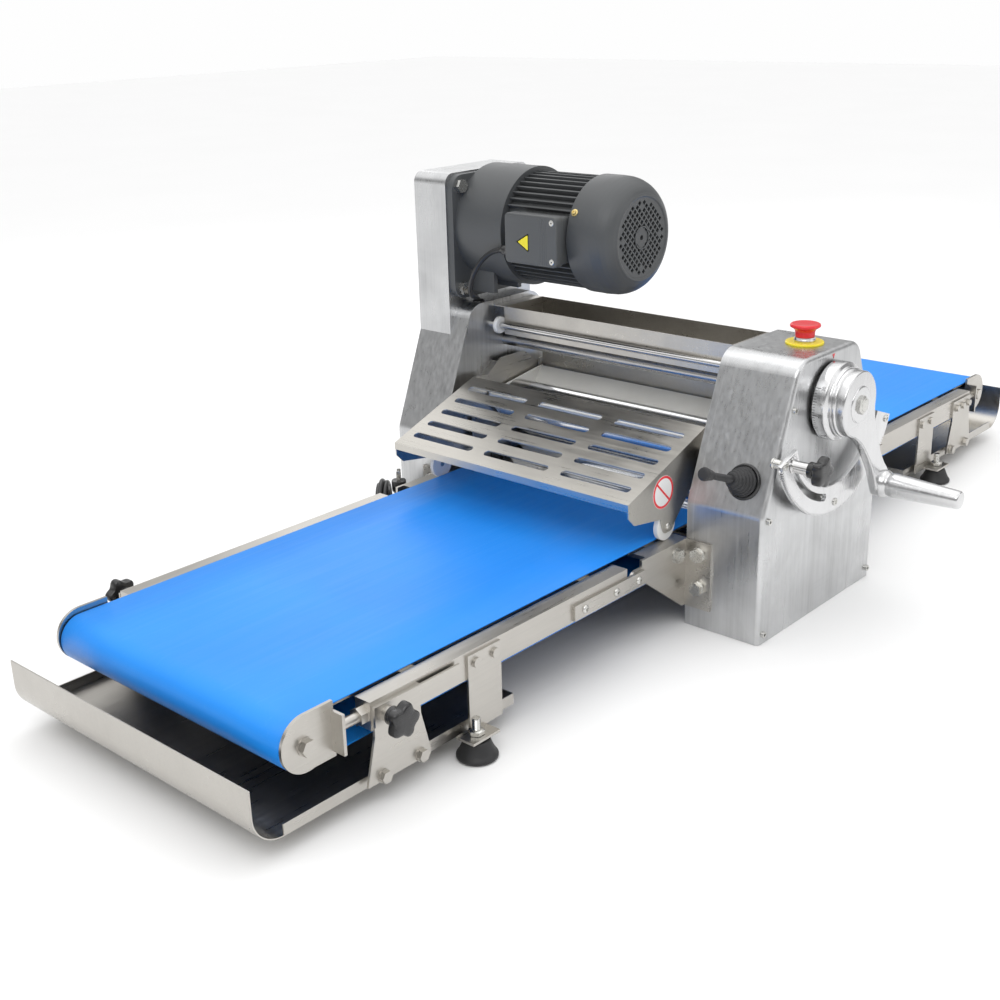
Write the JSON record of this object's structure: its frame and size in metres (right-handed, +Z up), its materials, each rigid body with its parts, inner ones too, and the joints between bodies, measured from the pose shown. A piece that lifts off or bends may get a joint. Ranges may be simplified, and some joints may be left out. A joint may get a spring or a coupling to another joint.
{
  "type": "dough sheeter",
  "caption": "Table-top dough sheeter: rollers with an adjustable gap between housings, hinged slotted guards, folding belt tables with catch trays, gap lever and geared motor.",
  "frame": {"origin": "midway between the two housings, on the bench they stand on, at the centre of the bench bolts", "axes": "+X along the conveyors, +Y from the operator's side to the motor's side, +Z up"},
  "size_m": [1.776, 0.8176, 0.57],
  "materials": {
    "casting": "ground and hand-brushed cast aluminium",
    "stainless": "brushed stainless sheet",
    "chrome_bar": "polished bar",
    "roller_chrome": "polished hard chrome",
    "bearing_steel": "ground steel",
    "lever_steel": "turned steel",
    "block_iron": "machined",
    "zinc": "zinc plated",
    "scraper": "light grey",
    "motor_paint": "satin dark grey",
    "motor_box": "matt dark grey",
    "cord": "matt black",
    "black_plastic": "satin black",
    "boot_rubber": "matt black",
    "foot_rubber": "matt black",
    "stop_yellow": "yellow",
    "stop_red": "red",
    "belt": "smooth blue food belt",
    "dial": "engraved aluminium",
    "nylon": "white nylon"
  },
  "bodies": {
    "base": {"operator_frame_plate": "casting", "operator_cover": "casting", "motor_housing": "casting", "motor_cover": "casting", "cross_bars": "chrome_bar", "housing_bolts": "zinc", "roller_side_plates": "stainless", "front_brackets": "stainless", "rear_brackets": "stainless", "roller_bearings": "bearing_steel", "lower_scrapers": "scraper", "gearcase": "motor_paint", "motor_frame": "motor_paint", "fan_cowl": "motor_paint", "terminal_box": "motor_box", "motor_lead": "cord", "toothed_sector": "stainless", "estop_base": "stop_yellow", "joystick_bezel": "black_plastic", "mains_gland": "black_plastic", "mains_cord": "cord", "mains_coil": "cord", "mains_plug": "cord", "front_belt_fixed": "belt", "rear_belt_fixed": "belt"},
    "lower_roller": {"lower_roller": "roller_chrome"},
    "lift_carriage": {"bearing_blocks": "block_iron", "upper_scrapers": "scraper"},
    "upper_roller": {"upper_roller": "roller_chrome"},
    "gap_control": {"gap_shaft": "bearing_steel", "gap_dial": "dial", "gap_lever": "lever_steel"},
    "lever_stop": {"lever_stop": "black_plastic"},
    "motor_fan": {"motor_fan": "black_plastic"},
    "output_shaft": {"drive_sprocket": "bearing_steel"},
    "estop_button": {"estop_button": "stop_red"},
    "joystick": {"joystick": "boot_rubber"},
    "flour_box": {"flour_box": "stainless"},
    "front_guard": {"front_guard": "stainless"},
    "front_guard_wheels": {"front_guard_wheels": "nylon"},
    "front_drive_roller": {"front_drive_roller": "bearing_steel"},
    "front_table": {"front_table_frame": "stainless", "front_belt_table": "belt", "front_tray": "stainless", "front_table_fittings": "stainless"},
    "front_nose": {"front_nose_plates": "stainless"},
    "front_nose_roller": {"front_nose_roller": "bearing_steel"},
    "front_feet": {"front_feet": "foot_rubber"},
    "rear_guard": {"rear_guard": "stainless"},
    "rear_guard_wheels": {"rear_guard_wheels": "nylon"},
    "rear_drive_roller": {"rear_drive_roller": "bearing_steel"},
    "rear_table": {"rear_table_frame": "stainless", "rear_belt_table": "belt", "rear_tray": "stainless", "rear_table_fittings": "stainless"},
    "rear_nose": {"rear_nose_plates": "stainless"},
    "rear_nose_roller": {"rear_nose_roller": "bearing_steel"},
    "rear_feet": {"rear_feet": "foot_rubber"},
    "tension_knob_near": {"front_tension_knob_near": "black_plastic"},
    "tension_knob_far": {"front_tension_knob_far": "black_plastic"}
  },
  "joints": [
    {"name": "lower_roller_spin", "type": "hinge", "parent": "base", "child": "lower_roller", "pos_m": [0, 0, 0.0875], "axis": [0, 1, 0], "continuous": true},
    {"name": "upper_roller_lift", "type": "slide", "parent": "base", "child": "lift_carriage", "axis": [0, 0, 1], "range_m": [-0.0239, 0.0118]},
    {"name": "upper_roller_spin", "type": "hinge", "parent": "lift_carriage", "child": "upper_roller", "pos_m": [0, 0, 0.1965], "axis": [0, 1, 0], "continuous": true},
    {"name": "gap_lever_turn", "type": "hinge", "parent": "base", "child": "gap_control", "pos_m": [0, -0.3, 0.302], "axis": [0, 1, 0], "range_deg": [-32, 65]},
    {"name": "lever_stop_slide", "type": "hinge", "parent": "base", "child": "lever_stop", "pos_m": [0, -0.35, 0.302], "axis": [0, 1, 0], "range_deg": [-46, 0]},
    {"name": "motor_fan_spin", "type": "hinge", "parent": "base", "child": "motor_fan", "pos_m": [0, 0, 0.483], "axis": [0, 1, 0], "continuous": true},
    {"name": "output_shaft_spin", "type": "hinge", "parent": "base", "child": "output_shaft", "pos_m": [0, 0.28, 0.468], "axis": [0, 1, 0], "continuous": true},
    {"name": "estop_press", "type": "slide", "parent": "base", "child": "estop_button", "axis": [0, 0, 1], "range_m": [-0.005, 0], "stiffness_N_per_m": 2000},
    {"name": "joystick_tilt", "type": "hinge", "parent": "base", "child": "joystick", "pos_m": [-0.14172, -0.2995, 0.21838], "axis": [0, 1, 0], "range_deg": [-15, 15], "stiffness_Nm_per_rad": 0.8},
    {"name": "flour_box_lift", "type": "slide", "parent": "base", "child": "flour_box", "axis": [0, 0, 1], "range_m": [0, 0.02]},
    {"name": "front_guard_lift", "type": "hinge", "parent": "base", "child": "front_guard", "pos_m": [-0.072, 0, 0.247], "axis": [0, 1, 0], "range_deg": [0, 90]},
    {"name": "front_guard_wheel_roll", "type": "hinge", "parent": "front_guard", "child": "front_guard_wheels", "pos_m": [-0.176, 0, 0.146], "axis": [0, 1, 0], "continuous": true},
    {"name": "front_drive_roller_spin", "type": "hinge", "parent": "base", "child": "front_drive_roller", "pos_m": [-0.078, 0, 0.1], "axis": [0, 1, 0], "continuous": true},
    {"name": "front_table_fold", "type": "hinge", "parent": "base", "child": "front_table", "pos_m": [-0.265, 0, 0.104], "axis": [0, 1, 0], "range_deg": [0, 70]},
    {"name": "front_belt_tension", "type": "slide", "parent": "front_table", "child": "front_nose", "axis": [1, 0, 0], "range_m": [0, 0.012]},
    {"name": "front_nose_roller_spin", "type": "hinge", "parent": "front_nose", "child": "front_nose_roller", "pos_m": [-0.803, 0, 0.1], "axis": [0, 1, 0], "continuous": true},
    {"name": "front_feet_level", "type": "slide", "parent": "front_table", "child": "front_feet", "axis": [0, 0, 1], "range_m": [-0.01, 0]},
    {"name": "rear_guard_lift", "type": "hinge", "parent": "base", "child": "rear_guard", "pos_m": [0.072, 0, 0.247], "axis": [0, -1, 0], "range_deg": [0, 90]},
    {"name": "rear_guard_wheel_roll", "type": "hinge", "parent": "rear_guard", "child": "rear_guard_wheels", "pos_m": [0.176, 0, 0.146], "axis": [0, 1, 0], "continuous": true},
    {"name": "rear_drive_roller_spin", "type": "hinge", "parent": "base", "child": "rear_drive_roller", "pos_m": [0.078, 0, 0.1], "axis": [0, 1, 0], "continuous": true},
    {"name": "rear_table_fold", "type": "hinge", "parent": "base", "child": "rear_table", "pos_m": [0.265, 0, 0.104], "axis": [0, -1, 0], "range_deg": [0, 70]},
    {"name": "rear_belt_tension", "type": "slide", "parent": "rear_table", "child": "rear_nose", "axis": [-1, 0, 0], "range_m": [0, 0.012]},
    {"name": "rear_nose_roller_spin", "type": "hinge", "parent": "rear_nose", "child": "rear_nose_roller", "pos_m": [0.803, 0, 0.1], "axis": [0, 1, 0], "continuous": true},
    {"name": "rear_feet_level", "type": "slide", "parent": "rear_table", "child": "rear_feet", "axis": [0, 0, 1], "range_m": [-0.01, 0]},
    {"name": "tension_knob_near_turn", "type": "hinge", "parent": "front_table", "child": "tension_knob_near", "pos_m": [-0.712, -0.24, 0.108], "axis": [0, 1, 0], "continuous": true},
    {"name": "tension_knob_far_turn", "type": "hinge", "parent": "front_table", "child": "tension_knob_far", "pos_m": [-0.712, 0.24, 0.108], "axis": [0, 1, 0], "continuous": true}
  ],
  "couplings": [
    {"joint": "upper_roller_spin", "follows": "lower_roller_spin", "ratio": -1},
    {"joint": "output_shaft_spin", "follows": "lower_roller_spin", "ratio": 1},
    {"joint": "motor_fan_spin", "follows": "lower_roller_spin", "ratio": 12},
    {"joint": "upper_roller_lift", "follows": "gap_lever_turn", "m_per_rad": -0.0208},
    {"joint": "front_drive_roller_spin", "follows": "lower_roller_spin", "ratio": 1.4237},
    {"joint": "front_nose_roller_spin", "follows": "lower_roller_spin", "ratio": 1.4237},
    {"joint": "rear_drive_roller_spin", "follows": "lower_roller_spin", "ratio": 1.4237},
    {"joint": "rear_nose_roller_spin", "follows": "lower_roller_spin", "ratio": 1.4237}
  ]
}
